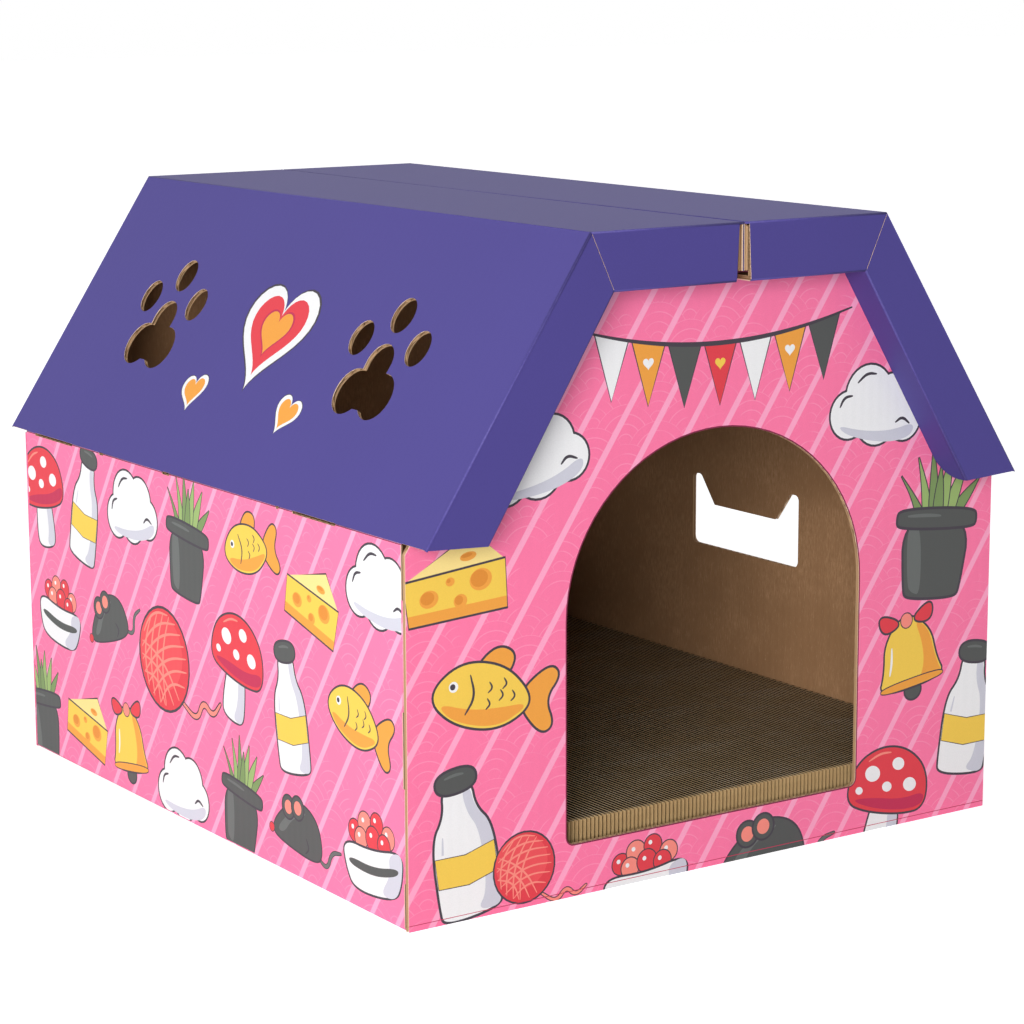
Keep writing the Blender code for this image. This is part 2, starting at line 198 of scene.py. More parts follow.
def facing(node):
    """Roughly where a panel's printed side looks."""
    side = -1 if node.startswith("left") else 1
    end = -1 if "front" in node else 1
    if "side_wall" in node:
        return Vector((side, 0, 0))
    if node in ("front_wall", "back_wall") or "corner_flap" in node or "fascia" in node:
        return Vector((0, end, 0))
    if "roof_slope" in node:
        return Vector((side, 0, 0.6)).normalized()
    if "ridge_flap" in node:
        return Vector((-side, 0, 0))
    if "slope_return" in node:
        return Vector((-side, 0, -0.6)).normalized()
    return UP if node.endswith("roof_top") or node == "base_panel" else -UP


def outer_face(node):
    """A point on a panel's printed side, and its normal."""
    look = facing(node)
    faces = [face for face in panels[node].data.polygons if face.normal.dot(look) > NEARLY_ON]
    widest = max(faces, key=lambda face: face.area)
    return widest.center.copy(), widest.normal.copy()


def solid_of(node):
    """A panel's full thickness, with its doubled corners merged."""
    shape = bmesh.new()
    shape.from_mesh(panels[node].data)
    bmesh.ops.remove_doubles(shape, verts=shape.verts, dist=MERGE)
    return shape


def trim(shape, point, normal):
    """Keeps the side of a plane that its normal points to, and closes the cut."""
    everything = [*shape.verts, *shape.edges, *shape.faces]
    cut = bmesh.ops.bisect_plane(
        shape, geom=everything, dist=CUT_REACH, plane_co=point, plane_no=normal, clear_inner=True
    )
    rim = [edge for edge in cut["geom_cut"] if isinstance(edge, bmesh.types.BMEdge)]
    if rim:
        bmesh.ops.triangle_fill(shape, use_beauty=True, edges=rim, normal=-normal)


def crease_between(first, second):
    """The line on which two panels' printed sides meet."""
    point, normal = outer_face(first)
    other_point, other_normal = outer_face(second)
    return geometry.intersect_plane_plane(point, normal, other_point, other_normal)


def pulled_back(node, neighbour):
    """The plane where a panel's flat liner ends and its fold begins: a point, and the way to the panel."""
    centre, normal = outer_face(node)
    point, along = crease_between(node, neighbour)
    away = along.cross(normal).normalized()
    if away.dot(centre - point) < 0:
        away.negate()
    turn = normal.angle(outer_face(neighbour)[1])
    return point + away * FOLD_RADIUS * math.tan(turn / 2), away


def object_of(name, shape, *materials):
    """A piece in the scene. The shape is used up."""
    mesh = bpy.data.meshes.new(name)
    shape.to_mesh(mesh)
    shape.free()
    for material in materials:
        mesh.materials.append(material)
    piece = bpy.data.objects.new(name, mesh)
    bpy.context.scene.collection.objects.link(piece)
    return piece


def add_to(whole, shape):
    """Adds one shape to another. The added one is used up."""
    mesh = bpy.data.meshes.new("part")
    shape.to_mesh(mesh)
    shape.free()
    whole.from_mesh(mesh)
    bpy.data.meshes.remove(mesh)


def overlap_of(first, second, operation="INTERSECT"):
    """What two closed shapes share, or what is left of the first. Both are used up."""
    sheet = object_of("sheet", first)
    block = object_of("block", second)
    cut = sheet.modifiers.new("cut", "BOOLEAN")
    cut.operation = operation
    cut.solver = "EXACT"
    cut.object = block
    solved = sheet.evaluated_get(bpy.context.evaluated_depsgraph_get())
    mesh = bpy.data.meshes.new_from_object(solved)
    for used in (sheet, block):
        bpy.data.meshes.remove(used.data)  # and its object with it
    shared = bmesh.new()
    shared.from_mesh(mesh)
    bpy.data.meshes.remove(mesh)
    return shared


def wave_sheet(solid, across, along, normal, middle, depth):
    """The medium before it is cut: one sheet of waves, a little larger than its panel."""
    wide = [vert.co.dot(across) for vert in solid.verts]
    long = [vert.co.dot(along) for vert in solid.verts]
    waves = math.ceil((max(wide) - min(wide)) / FLUTE_PITCH) + 1
    sheet = bmesh.new()
    bmesh.ops.create_grid(sheet, x_segments=waves * FLUTE_STEPS, y_segments=1, size=0.5)
    length = max(long) - min(long) + FLUTE_PITCH
    bmesh.ops.scale(sheet, vec=(waves * FLUTE_PITCH, length, 1), verts=sheet.verts)
    for vert in sheet.verts:
        vert.co.z = (depth - MEDIUM) / 2 * math.sin(2 * math.pi * vert.co.x / FLUTE_PITCH)
    bmesh.ops.solidify(sheet, geom=sheet.faces, thickness=MEDIUM)
    heights = [vert.co.z for vert in sheet.verts]
    bmesh.ops.translate(sheet, vec=(0, 0, -(max(heights) + min(heights)) / 2), verts=sheet.verts)
    centre = across * (max(wide) + min(wide)) / 2 + along * (max(long) + min(long)) / 2 + normal * middle
    turn = Matrix((across, along, normal)).transposed()
    bmesh.ops.transform(sheet, matrix=Matrix.Translation(centre) @ turn.to_4x4(), verts=sheet.verts)
    return sheet


def mapped(mesh, across, along):
    """Writes each corner's place across and along the flutes, in metres, as the panel's UV map."""
    layer = mesh.uv_layers.new(name="panel")
    for loop, spot in zip(mesh.loops, layer.data):
        place = mesh.vertices[loop.vertex_index].co
        spot.uv = (place.dot(across), place.dot(along))


def end_cover(core, node, neighbour):
    """Paper crushed over a panel's end by a crease, which shows when that fold is open.
    The core ends behind it."""
    centre, normal = outer_face(node)
    thickness = max((centre - vert.co).dot(normal) for vert in core.verts)
    point, along = crease_between(node, neighbour)
    outwards = along.cross(normal + outer_face(neighbour)[1]).normalized()
    if outwards.dot(centre - point) > 0:
        outwards.negate()
    cover = core.copy()
    rest = [face for face in cover.faces if face.normal.dot(outwards) < SQUARE_ON]
    bmesh.ops.delete(cover, geom=rest, context="FACES")
    bmesh.ops.solidify(cover, geom=cover.faces, thickness=MEDIUM)
    trim(cover, centre - normal * LINER, -normal)
    trim(cover, centre - normal * (thickness - LINER), normal)
    bmesh.ops.recalc_face_normals(cover, faces=cover.faces)
    for face in cover.faces:
        face.material_index = 1
    trim(core, point - outwards * MEDIUM, -outwards)
    return cover


panel_axes = {}  # of each panel: across its flutes and along them


def board(node, outer, along=UP, folds=(), printed=None, slits=None):
    """A panel of corrugated board in the place of its plain solid: outer liner, medium and inner liner."""
    centre, normal = outer_face(node)
    along = (along - normal * along.dot(normal)).normalized()
    across = along.cross(normal)
    panel_axes[node] = (across, along)
    whole = solid_of(node)
    if slits:
        whole = overlap_of(whole, slits, "DIFFERENCE")
    thickness = max((centre - vert.co).dot(normal) for vert in whole.verts)

    outer_liner = whole.copy()
    trim(outer_liner, centre - normal * LINER, normal)
    core = whole.copy()
    for neighbour in folds:
        point, away = pulled_back(node, neighbour)
        trim(outer_liner, point, away)
        trim(core, point, away)
    own_body = panels[node]["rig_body"]
    hinged = [neighbour for neighbour in folds if panels[neighbour]["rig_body"] != own_body]
    covers = [end_cover(core, node, neighbour) for neighbour in hinged]
    inner_liner = whole
    trim(inner_liner, centre - normal * (thickness - LINER), -normal)
    if printed:
        outer_liner = printed(outer_liner, centre, normal, across, along)
    else:
        inks = outer_liner.loops.layers.float_color.new("ink")
        for loop in (loop for face in outer_liner.faces for loop in face.loops):
            loop[inks] = (0, 0, 0, 0)
    bmesh.ops.recalc_face_normals(outer_liner, faces=outer_liner.faces)
    bmesh.ops.recalc_face_normals(inner_liner, faces=inner_liner.faces)
    bmesh.ops.recalc_face_normals(core, faces=core.faces)
    for face in outer_liner.faces:
        face.material_index = 0 if face.normal.dot(normal) > SQUARE_ON else 2
    for face in inner_liner.faces:
        face.material_index = 1 if face.normal.dot(normal) < -SQUARE_ON else 2

    depth = thickness - 2 * (LINER + GLUE_GAP)
    sheet = wave_sheet(core, across, along, normal, centre.dot(normal) - thickness / 2, depth)
    layers = outer_liner
    add_to(layers, inner_liner)
    flat_faces = len(layers.faces)
    add_to(layers, overlap_of(sheet, core))
    layers.faces.ensure_lookup_table()
    for face in layers.faces[flat_faces:]:
        face.material_index = 2
        face.smooth = abs(face.normal.dot(along)) < 0.5
    for cover in covers:
        add_to(layers, cover)
    depths = layers.verts.layers.float.new("depth")
    for vert in layers.verts:
        vert[depths] = (centre - vert.co).dot(normal) / thickness
    piece = object_of(node + "_board", layers, outer, kraft_liner, cut_edge)
    mapped(piece.data, across, along)
    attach(piece, own_body)
    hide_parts(node)


board("base_panel", kraft_liner, along=BACKWARDS)
for side in ("left", "right"):
    board(side + "_bottom_flap", kraft_liner, ACROSS_HOUSE, [side + "_side_wall"])


# Folds: the outer liner runs round each fold in a small arc, a little paler along its crest.
# Where the fold is perforated, the liner is cut through for a stretch and the board's edges show.
FOLD_STEPS = 6


def stretch(direction, low, high):
    """The two planes that end a stretch of fold."""
    return [(direction * low, direction), (direction * high, -direction)]


def fold(name, first, second, outer, stretches, inks=None, tail=0.0):
    """The liner round the fold between two panels, in closed stretches. Where the fold is a joint it is put
    on neither panel's body.
    It may carry an ink on each half, and run on past the arc as a flat tail."""
    centre, normal = outer_face(first)
    other_normal = outer_face(second)[1]
    point, along = crease_between(first, second)
    point += along * (centre - point).dot(along)
    away = pulled_back(first, second)[1]
    other_away = pulled_back(second, first)[1]
    turn = normal.angle(other_normal)
    hub = point - (normal + other_normal) * FOLD_RADIUS / (1 + normal.dot(other_normal))
    begin = hub + normal * FOLD_RADIUS
    whole = bmesh.new()
    for stops in stretches:
        strip = bmesh.new()
        ends = [strip.verts.new(begin - along), strip.verts.new(begin + along)]
        edge = strip.edges.new(ends)
        axis = normal.cross(other_normal).normalized()
        swept = bmesh.ops.spin(strip, geom=[*ends, edge], cent=hub, axis=axis, angle=turn, steps=FOLD_STEPS)
        if tail:
            last = [item for item in swept["geom_last"] if isinstance(item, bmesh.types.BMEdge)]
            drawn = bmesh.ops.extrude_edge_only(strip, edges=last)["geom"]
            moved = [item for item in drawn if isinstance(item, bmesh.types.BMVert)]
            bmesh.ops.translate(strip, vec=other_away * tail, verts=moved)
        strip.normal_update()
        strip.faces.ensure_lookup_table()
        if strip.faces[0].normal.dot(normal) < 0:
            bmesh.ops.reverse_faces(strip, faces=strip.faces)
        bmesh.ops.solidify(strip, geom=strip.faces, thickness=LINER)
        for stop, keep in stops:
            trim(strip, stop, keep)
        bmesh.ops.recalc_face_normals(strip, faces=strip.faces)
        add_to(whole, strip)
    worn = whole.verts.layers.float.new("wear")
    layer = whole.loops.layers.uv.new("panel")
    ink = whole.loops.layers.float_color.new("ink")
    across, up = panel_axes[first]
    for face in whole.faces:
        middle = face.calc_center_median() - hub
        face.smooth = abs(face.normal.dot(middle - along * middle.dot(along))) > FOLD_RADIUS / 2
        share = math.atan2(-middle.dot(away), middle.dot(normal)) / turn
        for loop in face.loops:
            arm = loop.vert.co - hub
            angle = min(math.atan2(-arm.dot(away), arm.dot(normal)), turn)
            beyond = max(arm.dot(other_away), 0)
            flat = begin - away * (FOLD_RADIUS * angle + beyond) + along * arm.dot(along)
            loop[layer].uv = (flat.dot(across), flat.dot(up))
            loop[ink] = (*inks[share > 0.5], 1) if inks else (0, 0, 0, 0)
            loop.vert[worn] = math.sin(math.pi * min(max(angle / turn, 0), 1))
    piece = object_of(name, whole, outer)
    bodies = [panels[node]["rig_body"] for node in (first, second)]
    if bodies[0] == bodies[1]:
        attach(piece, bodies[0])
    else:
        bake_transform(piece)


# Side walls: board printed pink with paler slanting stripes and small pictures, folded at the eave, the floor
# and the corners. Two corner flaps a side fold in from them and are glued behind the gable walls.
PINK = (0.98, 0.200, 0.385)
PINK_STRIPE = (1.0, 0.39, 0.585)
PINK_LINE = (1.0, 0.28, 0.47)
PINK_WORN = (1.0, 0.46, 0.58)
STRIPE_PITCH = 0.0206
STRIPE_WIDTH = 0.0036
STRIPE_ANGLE = math.radians(56)
SCALE_RADIUS = 0.021  # of the fine overlapping scales printed in the pink
SCALE_RINGS = 4

WHITE = (0.88, 0.88, 0.89)
LAVENDER = (0.62, 0.62, 0.70)
CHARCOAL = (0.082, 0.086, 0.084)
SLATE = (0.135, 0.145, 0.14)
PEN = (0.055, 0.045, 0.06)
YELLOW = (0.90, 0.60, 0.09)
ORANGE = (0.86, 0.36, 0.06)
GREEN = (0.20, 0.30, 0.11)
LEAF = (0.32, 0.46, 0.16)
RUST = (0.74, 0.27, 0.04)
CREAM = (0.95, 0.74, 0.28)
RED = (0.74, 0.055, 0.075)
POPPY = (0.82, 0.085, 0.10)
SALMON = (0.92, 0.27, 0.22)
CRIMSON = (0.52, 0.03, 0.09)
PLUM = (0.20, 0.018, 0.055)
VIOLET = (0.068, 0.053, 0.250)


def stripes(tree, place):
    """1 on the pale stripes, which slant up to the right."""
    spot = put(tree, "SeparateXYZ", {"Vector": place})
    over = calc(tree, "MULTIPLY", spot.outputs["X"], math.sin(STRIPE_ANGLE) / STRIPE_PITCH)
    down = calc(tree, "MULTIPLY", spot.outputs["Y"], math.cos(STRIPE_ANGLE) / STRIPE_PITCH)
    share = calc(tree, "FRACT", calc(tree, "SUBTRACT", over, down))
    from_middle = calc(tree, "ABSOLUTE", calc(tree, "SUBTRACT", share, 0.5))
    edge = STRIPE_WIDTH / STRIPE_PITCH / 2
    return stepped(tree, from_middle, edge + 0.012, edge - 0.012)


def scale_lines(tree, place):
    """1 on fine rings in overlapping scales. The lower of two scales lies in front."""
    spot = put(tree, "SeparateXYZ", {"Vector": place})
    x = calc(tree, "DIVIDE", spot.outputs["X"], SCALE_RADIUS)
    y = calc(tree, "DIVIDE", spot.outputs["Y"], SCALE_RADIUS)
    row = calc(tree, "FLOOR", calc(tree, "MULTIPLY", y, 2.0))
    reach = []
    for below in (1.0, 0.0):
        here = calc(tree, "SUBTRACT", row, below)
        aside = calc(tree, "PINGPONG", calc(tree, "ADD", x, here), 1.0)
        rise = calc(tree, "SUBTRACT", y, calc(tree, "MULTIPLY", here, 0.5))
        arm = put(tree, "CombineXYZ", {"X": aside, "Y": rise})
        reach.append(put(tree, "VectorMath", {0: arm.outputs[0]}, operation="LENGTH").outputs["Value"])
    front = calc(tree, "LESS_THAN", reach[0], 1.0)
    gap = calc(tree, "MULTIPLY", calc(tree, "SUBTRACT", reach[0], reach[1]), front)
    ring = calc(tree, "MULTIPLY", calc(tree, "ADD", reach[1], gap), float(SCALE_RINGS))
    return stepped(tree, calc(tree, "PINGPONG", ring, 0.5), 0.09, 0.03)


def shading(tree, value, least):
    """Turns noise into a factor between least and 1."""
    sockets = {"Value": value, "From Min": 0.3, "From Max": 0.7, "To Min": least}
    return put(tree, "MapRange", sockets).outputs["Result"]


def printed_paper(name, ground, worn, washboard, stripe=None, line=None):
    """Printed liner: its ground, the inks that the sheet carries, and a paler tone along a fold's crest."""
    material, tree, shader, place = paper(name, 0.56, 0.24)
    body = put(tree, "TexCoord").outputs["Object"]
    if stripe:
        broken = stepped(tree, noise(tree, place, 45.0, 1.0), 0.38, 0.56)
        faint = calc(tree, "MULTIPLY", scale_lines(tree, place), broken)
        ground = mixed(tree, faint, ground, line)
        ground = mixed(tree, stripes(tree, place), ground, stripe)
    ink = put(tree, "Attribute", attribute_name="ink")
    toned = mixed(tree, ink.outputs["Alpha"], ground, ink.outputs["Color"])
    cloud = shading(tree, noise(tree, body, 9.0, 3.0), 0.965)
    fleck = shading(tree, noise(tree, body, 1400.0, 3.0, 0.7), 0.94)
    level = calc(tree, "MULTIPLY", cloud, fleck)
    grey = put(tree, "CombineColor", {"Red": level, "Green": level, "Blue": level})
    toned = mixed(tree, 1.0, toned, grey.outputs["Color"], "MULTIPLY")
    wear = put(tree, "Attribute", attribute_name="wear").outputs["Fac"]
    patch = calc(tree, "ADD", noise(tree, body, 700.0, 3.0, 0.65), 0.2)
    rubbed = calc(tree, "MULTIPLY", wear, patch)
    toned = mixed(tree, stepped(tree, rubbed, 0.3, 1.3), toned, worn)
    grained(tree, shader, place, toned, 0.2, washboard)
    return material


pink_print = printed_paper("pink_print", PINK, PINK_WORN, 0.15, PINK_STRIPE, PINK_LINE)


def polygon(*corners):
    """A straight-sided outline."""
    return [Vector(corner) for corner in corners]


def curve(*corners, closed=True):
    """A smooth line drawn along a few corners, in millimetres, by cutting its corners three times."""
    points = polygon(*corners)
    for _ in range(3):
        follow = points[1:] + points[:1] if closed else points[1:]
        pairs = zip(points, follow)
        cut = [here.lerp(there, share) for here, there in pairs for share in (0.25, 0.75)]
        points = cut if closed else [points[0], *cut, points[-1]]
    return points


def oval(x, y, wide, high=None, turn=0.0):
    """A circle, or an ellipse turned by some degrees."""
    angles = [2 * math.pi * step / 30 for step in range(30)]
    ring = [Vector((wide * math.cos(angle), (high or wide) * math.sin(angle))) for angle in angles]
    return [Matrix.Rotation(math.radians(turn), 2) @ spot + Vector((x, y)) for spot in ring]


def anticlockwise(outline):
    """The same outline, going round to the left."""
    area = sum(here.cross(there) for here, there in zip(outline, outline[1:] + outline[:1]))
    return outline if area > 0 else outline[::-1]


def grown(outline, amount):
    """An outline with every corner moved outwards."""
    outline = anticlockwise(outline)
    moved = []
    for i, corner in enumerate(outline):
        along = (outline[(i + 1) % len(outline)] - outline[i - 1]).normalized()
        moved.append(corner + Vector((along.y, -along.x)) * amount)
    return moved


def brush(width, *corners):
    """A brush line, widest in its middle and drawn out at both ends."""
    path = curve(*corners, closed=False)
    last = len(path) - 1
    left, right = [], []
    for i, spot in enumerate(path):
        along = (path[min(i + 1, last)] - path[max(i - 1, 0)]).normalized()
        half = Vector((along.y, -along.x)) * width / 2 * (0.3 + 0.7 * math.sin(math.pi * i / last))
        right.append(spot + half)
        left.append(spot - half)
    return right + left[::-1]


def inked(outline, ink, pen=1.1):
    """A filled outline with a dark pen line round it."""
    return [(grown(outline, pen), PEN), (outline, ink)]


def yarn_ball():
    parts = [
        *inked(brush(2.0, (12, -15), (24, -22), (30, -13), (37, -19), (44, -13)), SALMON, 0.6),
        *inked(oval(0, 0, 20), RED),
        (oval(-2, 3, 17.5, 15.5), POPPY),
    ]
    for turn, low, high in ((20, -15, 16), (78, -3, 16), (-38, -16, -2)):
        rotate = Matrix.Rotation(math.radians(turn), 2)
        for offset in range(low, high, 5):
            half = math.sqrt(19**2 - offset**2)
            ends = [(-half, offset), (-half / 3, offset + 4), (half / 3, offset + 4), (half, offset)]
            parts.append((brush(1.1, *[rotate @ (Vector(end) * 0.97) for end in ends]), SALMON))
    return parts


def bottle():
    glass = (
        (-13, -30), (13, -30), (14, -24), (14, 4), (7, 13),
        (6.5, 24), (-6.5, 24), (-7, 13), (-14, 4), (-14, -24),
    )
    shade = ((2, -28.6), (13, -30), (14, -24), (14, 4), (7, 13), (6, 22), (2, 22), (3, 12), (8, 3), (8, -22))
    return [
        *inked(curve(*glass), WHITE),
        (curve(*shade), LAVENDER),
        *inked(polygon((-13.6, -15), (0, -17), (13.6, -15), (13.6, -3), (0, -5), (-13.6, -3)), YELLOW, 0.4),
        *inked(curve((-9, 21), (9, 21), (9, 30), (-9, 30)), CHARCOAL),
        (brush(1.0, (-9, 5), (-10, -2), (-10, -2)), LAVENDER),
        (brush(1.2, (-5, 27.5), (0, 28), (4, 27.5)), SLATE),
    ]


def fish():
    scales = ((1, 4), (7, 1), (1, -3), (13, 1), (8, 6))
    return [
        *inked(curve((15, 0), (30, 15), (37, 11), (30, 0), (37, -11), (30, -15)), ORANGE),
        *inked(curve((-8, 10), (2, 22), (13, 19), (9, 8)), ORANGE),
        *inked(curve((-29, -1), (-15, 14), (7, 14), (22, 3), (22, -5), (7, -14), (-15, -12)), YELLOW),
        (curve((-24, -3.5), (-6, -6), (10, -4), (20, -2), (20, -5), (7, -13), (-15, -11)), ORANGE),
        (brush(1.2, (-9, 9), (-5, 0), (-9, -8)), PEN),
        *[(brush(0.9, (x, y + 2.4), (x + 2.2, y), (x, y - 2.4)), PEN) for x, y in scales],
        (oval(-16.5, 3.5, 2.3), WHITE),
        (oval(-16.9, 3.5, 1.3), PEN),
    ]


def grass_pot():
    blades = []
    for lean, tall, ink in (
        (-20, 20, GREEN), (20, 19, GREEN), (-12, 27, LEAF), (13, 26, LEAF),
        (-5, 31, GREEN), (5, 29, LEAF), (0, 24, GREEN),
    ):
        root = lean * 0.4
        right = (root + lean * 0.3 + 2, tall * 0.6)
        left = (root + lean * 0.2 - 2, tall * 0.6)
        tip = (lean, tall)
        blades += inked(curve((root - 2.6, 4), (root + 2.6, 4), right, tip, tip, left), ink, 0.5)
    return [
        *blades,
        *inked(curve((-12, -27), (12, -27), (14, -24), (17, 4), (-17, 4), (-14, -24)), CHARCOAL),
        (curve((-10, -25), (-5, -26), (-8, 2), (-15, 2), (-12.5, -22)), SLATE),
        *inked(curve((-19, 0), (19, 0), (20, 3), (19, 7), (-19, 7), (-20, 3)), CHARCOAL),
        (brush(1.4, (-15, 4.5), (-6, 4.8), (2, 4.5)), SLATE),
    ]


def mushroom():
    cap = curve((-27, -2), (-12, -6), (12, -6), (27, -2), (24, 17), (9, 27), (-9, 27), (-24, 17))
    spots = ((-12, 13, 5), (4, 19, 4), (14, 9, 4.4), (-1, 7, 3.2), (-19, 4, 2.4))
    return [
        *inked(curve((-8, 2), (-11, -20), (-9, -28), (9, -28), (11, -20), (8, 2)), WHITE),
        (curve((2, 0), (4, -18), (0, -27), (9, -28), (11, -20), (8, 0)), LAVENDER),
        *inked(cap, RED),
        (curve((-24, -1), (-8, -4.5), (12, -4.5), (25, -1), (25, 6), (10, 1), (-10, 1)), CRIMSON),
        *[(oval(x, y, wide, wide * 0.8, -8), WHITE) for x, y, wide in spots],
        (brush(1.2, (-16, 19), (-9, 23.5), (-2, 24.5)), SALMON),
    ]


def cheese():
    parts = [
        *inked(polygon((-27, 3), (27, 1), (12, 17)), CREAM),
        *inked(polygon((-27, -17), (25, -21), (27, 1), (-27, 3)), YELLOW),
        (polygon((-27, -17), (25, -21), (25.4, -16), (-27, -12)), ORANGE),
    ]
    holes = ((-15, -7, 5, 4), (1, -12, 3.6, 3.2), (13, -5, 6, 5), (-3, -2, 2.4, 2), (8, 7, 4.4, 2))
    for x, y, wide, high in holes:
        parts.append((oval(x, y, wide, high), ORANGE))
        parts.append((oval(x - 0.7, y + 0.6, wide - 1.4, high - 1.1), RUST))
    return parts


def cloud():
    puffs = ((-17, -5, 11), (17, -5, 10), (-6, 5, 14), (9, 4, 12), (0, -6, 12))
    return [
        *[(oval(x, y, wide + 1.1), PEN) for x, y, wide in puffs],
        *[(oval(x, y, wide), WHITE) for x, y, wide in puffs],
        (curve((-24, -10), (-8, -12), (10, -11), (24, -6), (23, -13), (8, -17), (-16, -15)), LAVENDER),
        (brush(1.4, (-23, -2), (-21, 3), (-16, 4)), PEN),
        (brush(1.4, (-14, 10), (-9, 15), (-3, 15)), PEN),
        (brush(1.4, (12, -7), (16, -4), (21, -7)), PEN),
    ]


def toy_mouse():
    return [
        *inked(brush(2.2, (20, -8), (32, -12), (35, 0), (45, 3)), SLATE, 0.5),
        *inked(curve((-30, -11), (-20, 4), (-2, 16), (18, 12), (26, -4), (22, -13), (-16, -14)), CHARCOAL),
        (curve((-24, -9), (-14, 3), (0, 11), (8, 11), (-8, 3), (-16, -9)), SLATE),
        *inked(oval(-13, 8, 6.4), CHARCOAL),
        (oval(-13, 8, 4), SALMON),
        *inked(oval(-3, 11, 6.4), CHARCOAL),
        (oval(-3, 11, 4), SALMON),
        *inked(oval(-29.5, -10.5, 2.6), RED, 0.5),
        (brush(1.2, (8, -3), (12, -8), (8, -12)), PEN),
    ]


def bowl():
    berries = []
    for x, y, wide, ink in (
        (-14, 8, 5, RED), (-5, 12, 5.4, SALMON), (5, 13, 5, RED), (14, 8, 5, SALMON),
        (-9, 5, 5, SALMON), (1, 6, 5.6, RED), (10, 4, 5, RED),
    ):
        berries += [*inked(oval(x, y, wide), ink, 0.6), (oval(x - 1.4, y + 1.6, 1.1), WHITE)]
    return [
        *berries,
        *inked(curve((-17, -19), (17, -19), (23, -10), (25, 3), (0, 0), (-25, 3), (-23, -10)), WHITE),
        (curve((4, -18), (17, -19), (23, -10), (25, 3), (13, 1), (14, -8)), LAVENDER),
        (curve((-20, -8), (0, -11), (20, -8), (21, -4), (0, -7), (-21, -4)), CHARCOAL),
    ]


def bell():
    return [
        *inked(oval(0, -17, 5, 4.4), CHARCOAL),
        *inked(curve((-22, -15), (22, -15), (17, -4), (15, 12), (0, 24), (-15, 12), (-17, -4)), YELLOW),
        (curve((4, -14), (21, -15), (16.5, -4), (14, 12), (5, 19), (9, 6), (9, -6)), ORANGE),
        *inked(curve((-20, -15), (20, -15), (21, -11), (-21, -11)), ORANGE, 0.6),
        *inked(curve((-2, 19), (-18, 27), (-16, 15)), RED),
        *inked(curve((2, 19), (16, 15), (18, 27)), RED),
        *inked(oval(0, 19.5, 3.6), SALMON, 0.6),
        (brush(1.4, (-11, 8), (-12, 0), (-14, -6)), WHITE),
    ]


def heart(size=1.0):
    """A heart's outline. It starts at the side, because a print's outlines can't start in a notch."""
    outline = []
    for step in range(12, 60):
        angle = 2 * math.pi * step / 48
        wide = 16 * math.sin(angle) ** 3
        high = 13 * math.cos(angle) - 5 * math.cos(2 * angle) - 2 * math.cos(3 * angle) - math.cos(4 * angle)
        outline.append(Vector((wide, high)) * size)
    return outline


def stamp(motif, x, y, turn=0.0, size=1.0):
    """Puts a motif, drawn in millimetres, on a panel, at a place in metres."""
    rotate = Matrix.Rotation(math.radians(turn), 2)
    place = Vector((x, y))
    layers = []
    for outline, ink in motif:
        moved = [rotate @ spot * size / 1000 + place for spot in outline]
        layers.append((anticlockwise(moved), ink))
    return layers


def arranged(*places):
    """A layout of motifs, each with its place, turn and size."""
    return [layer for motif, *place in places for layer in stamp(motif(), *place)]


def printing(layers):
    """A print for a liner: the liner's face is cut along the outlines of its inks, the last on top."""

    def sheet_of(liner, centre, normal, across, along):
        ground = [face for face in liner.faces if face.normal.dot(normal) > SQUARE_ON]
        outlines = []
        for face in ground:
            outlines.append([Vector((vert.co.dot(across), vert.co.dot(along))) for vert in face.verts])
        outlines += [outline for outline, ink in layers]
        points = [spot for outline in outlines for spot in outline]
        corners = []
        for outline in outlines:
            first = sum(len(done) for done in corners)
            corners.append(list(range(first, first + len(outline))))
        spots, _, areas, _, _, owners = geometry.delaunay_2d_cdt(points, [], corners, 1, MERGE, True)
        sheet = bmesh.new()
        inks = sheet.loops.layers.float_color.new("ink")
        level = centre.dot(normal)
        verts = [sheet.verts.new(across * spot.x + along * spot.y + normal * level) for spot in spots]
        for area, owner in zip(areas, owners):
            if not owner or min(owner) >= len(ground):
                continue
            face = sheet.faces.new([verts[i] for i in area])
            top = max(owner) - len(ground)
            colour = (0, 0, 0, 0) if top < 0 else (*layers[top][1], 1)
            for loop in face.loops:
                loop[inks] = colour
        loose = [vert for vert in sheet.verts if not vert.link_faces]
        bmesh.ops.delete(sheet, geom=loose, context="VERTS")
        sheet.normal_update()
        bmesh.ops.solidify(sheet, geom=sheet.faces, thickness=LINER)
        liner.free()
        return sheet

    return sheet_of


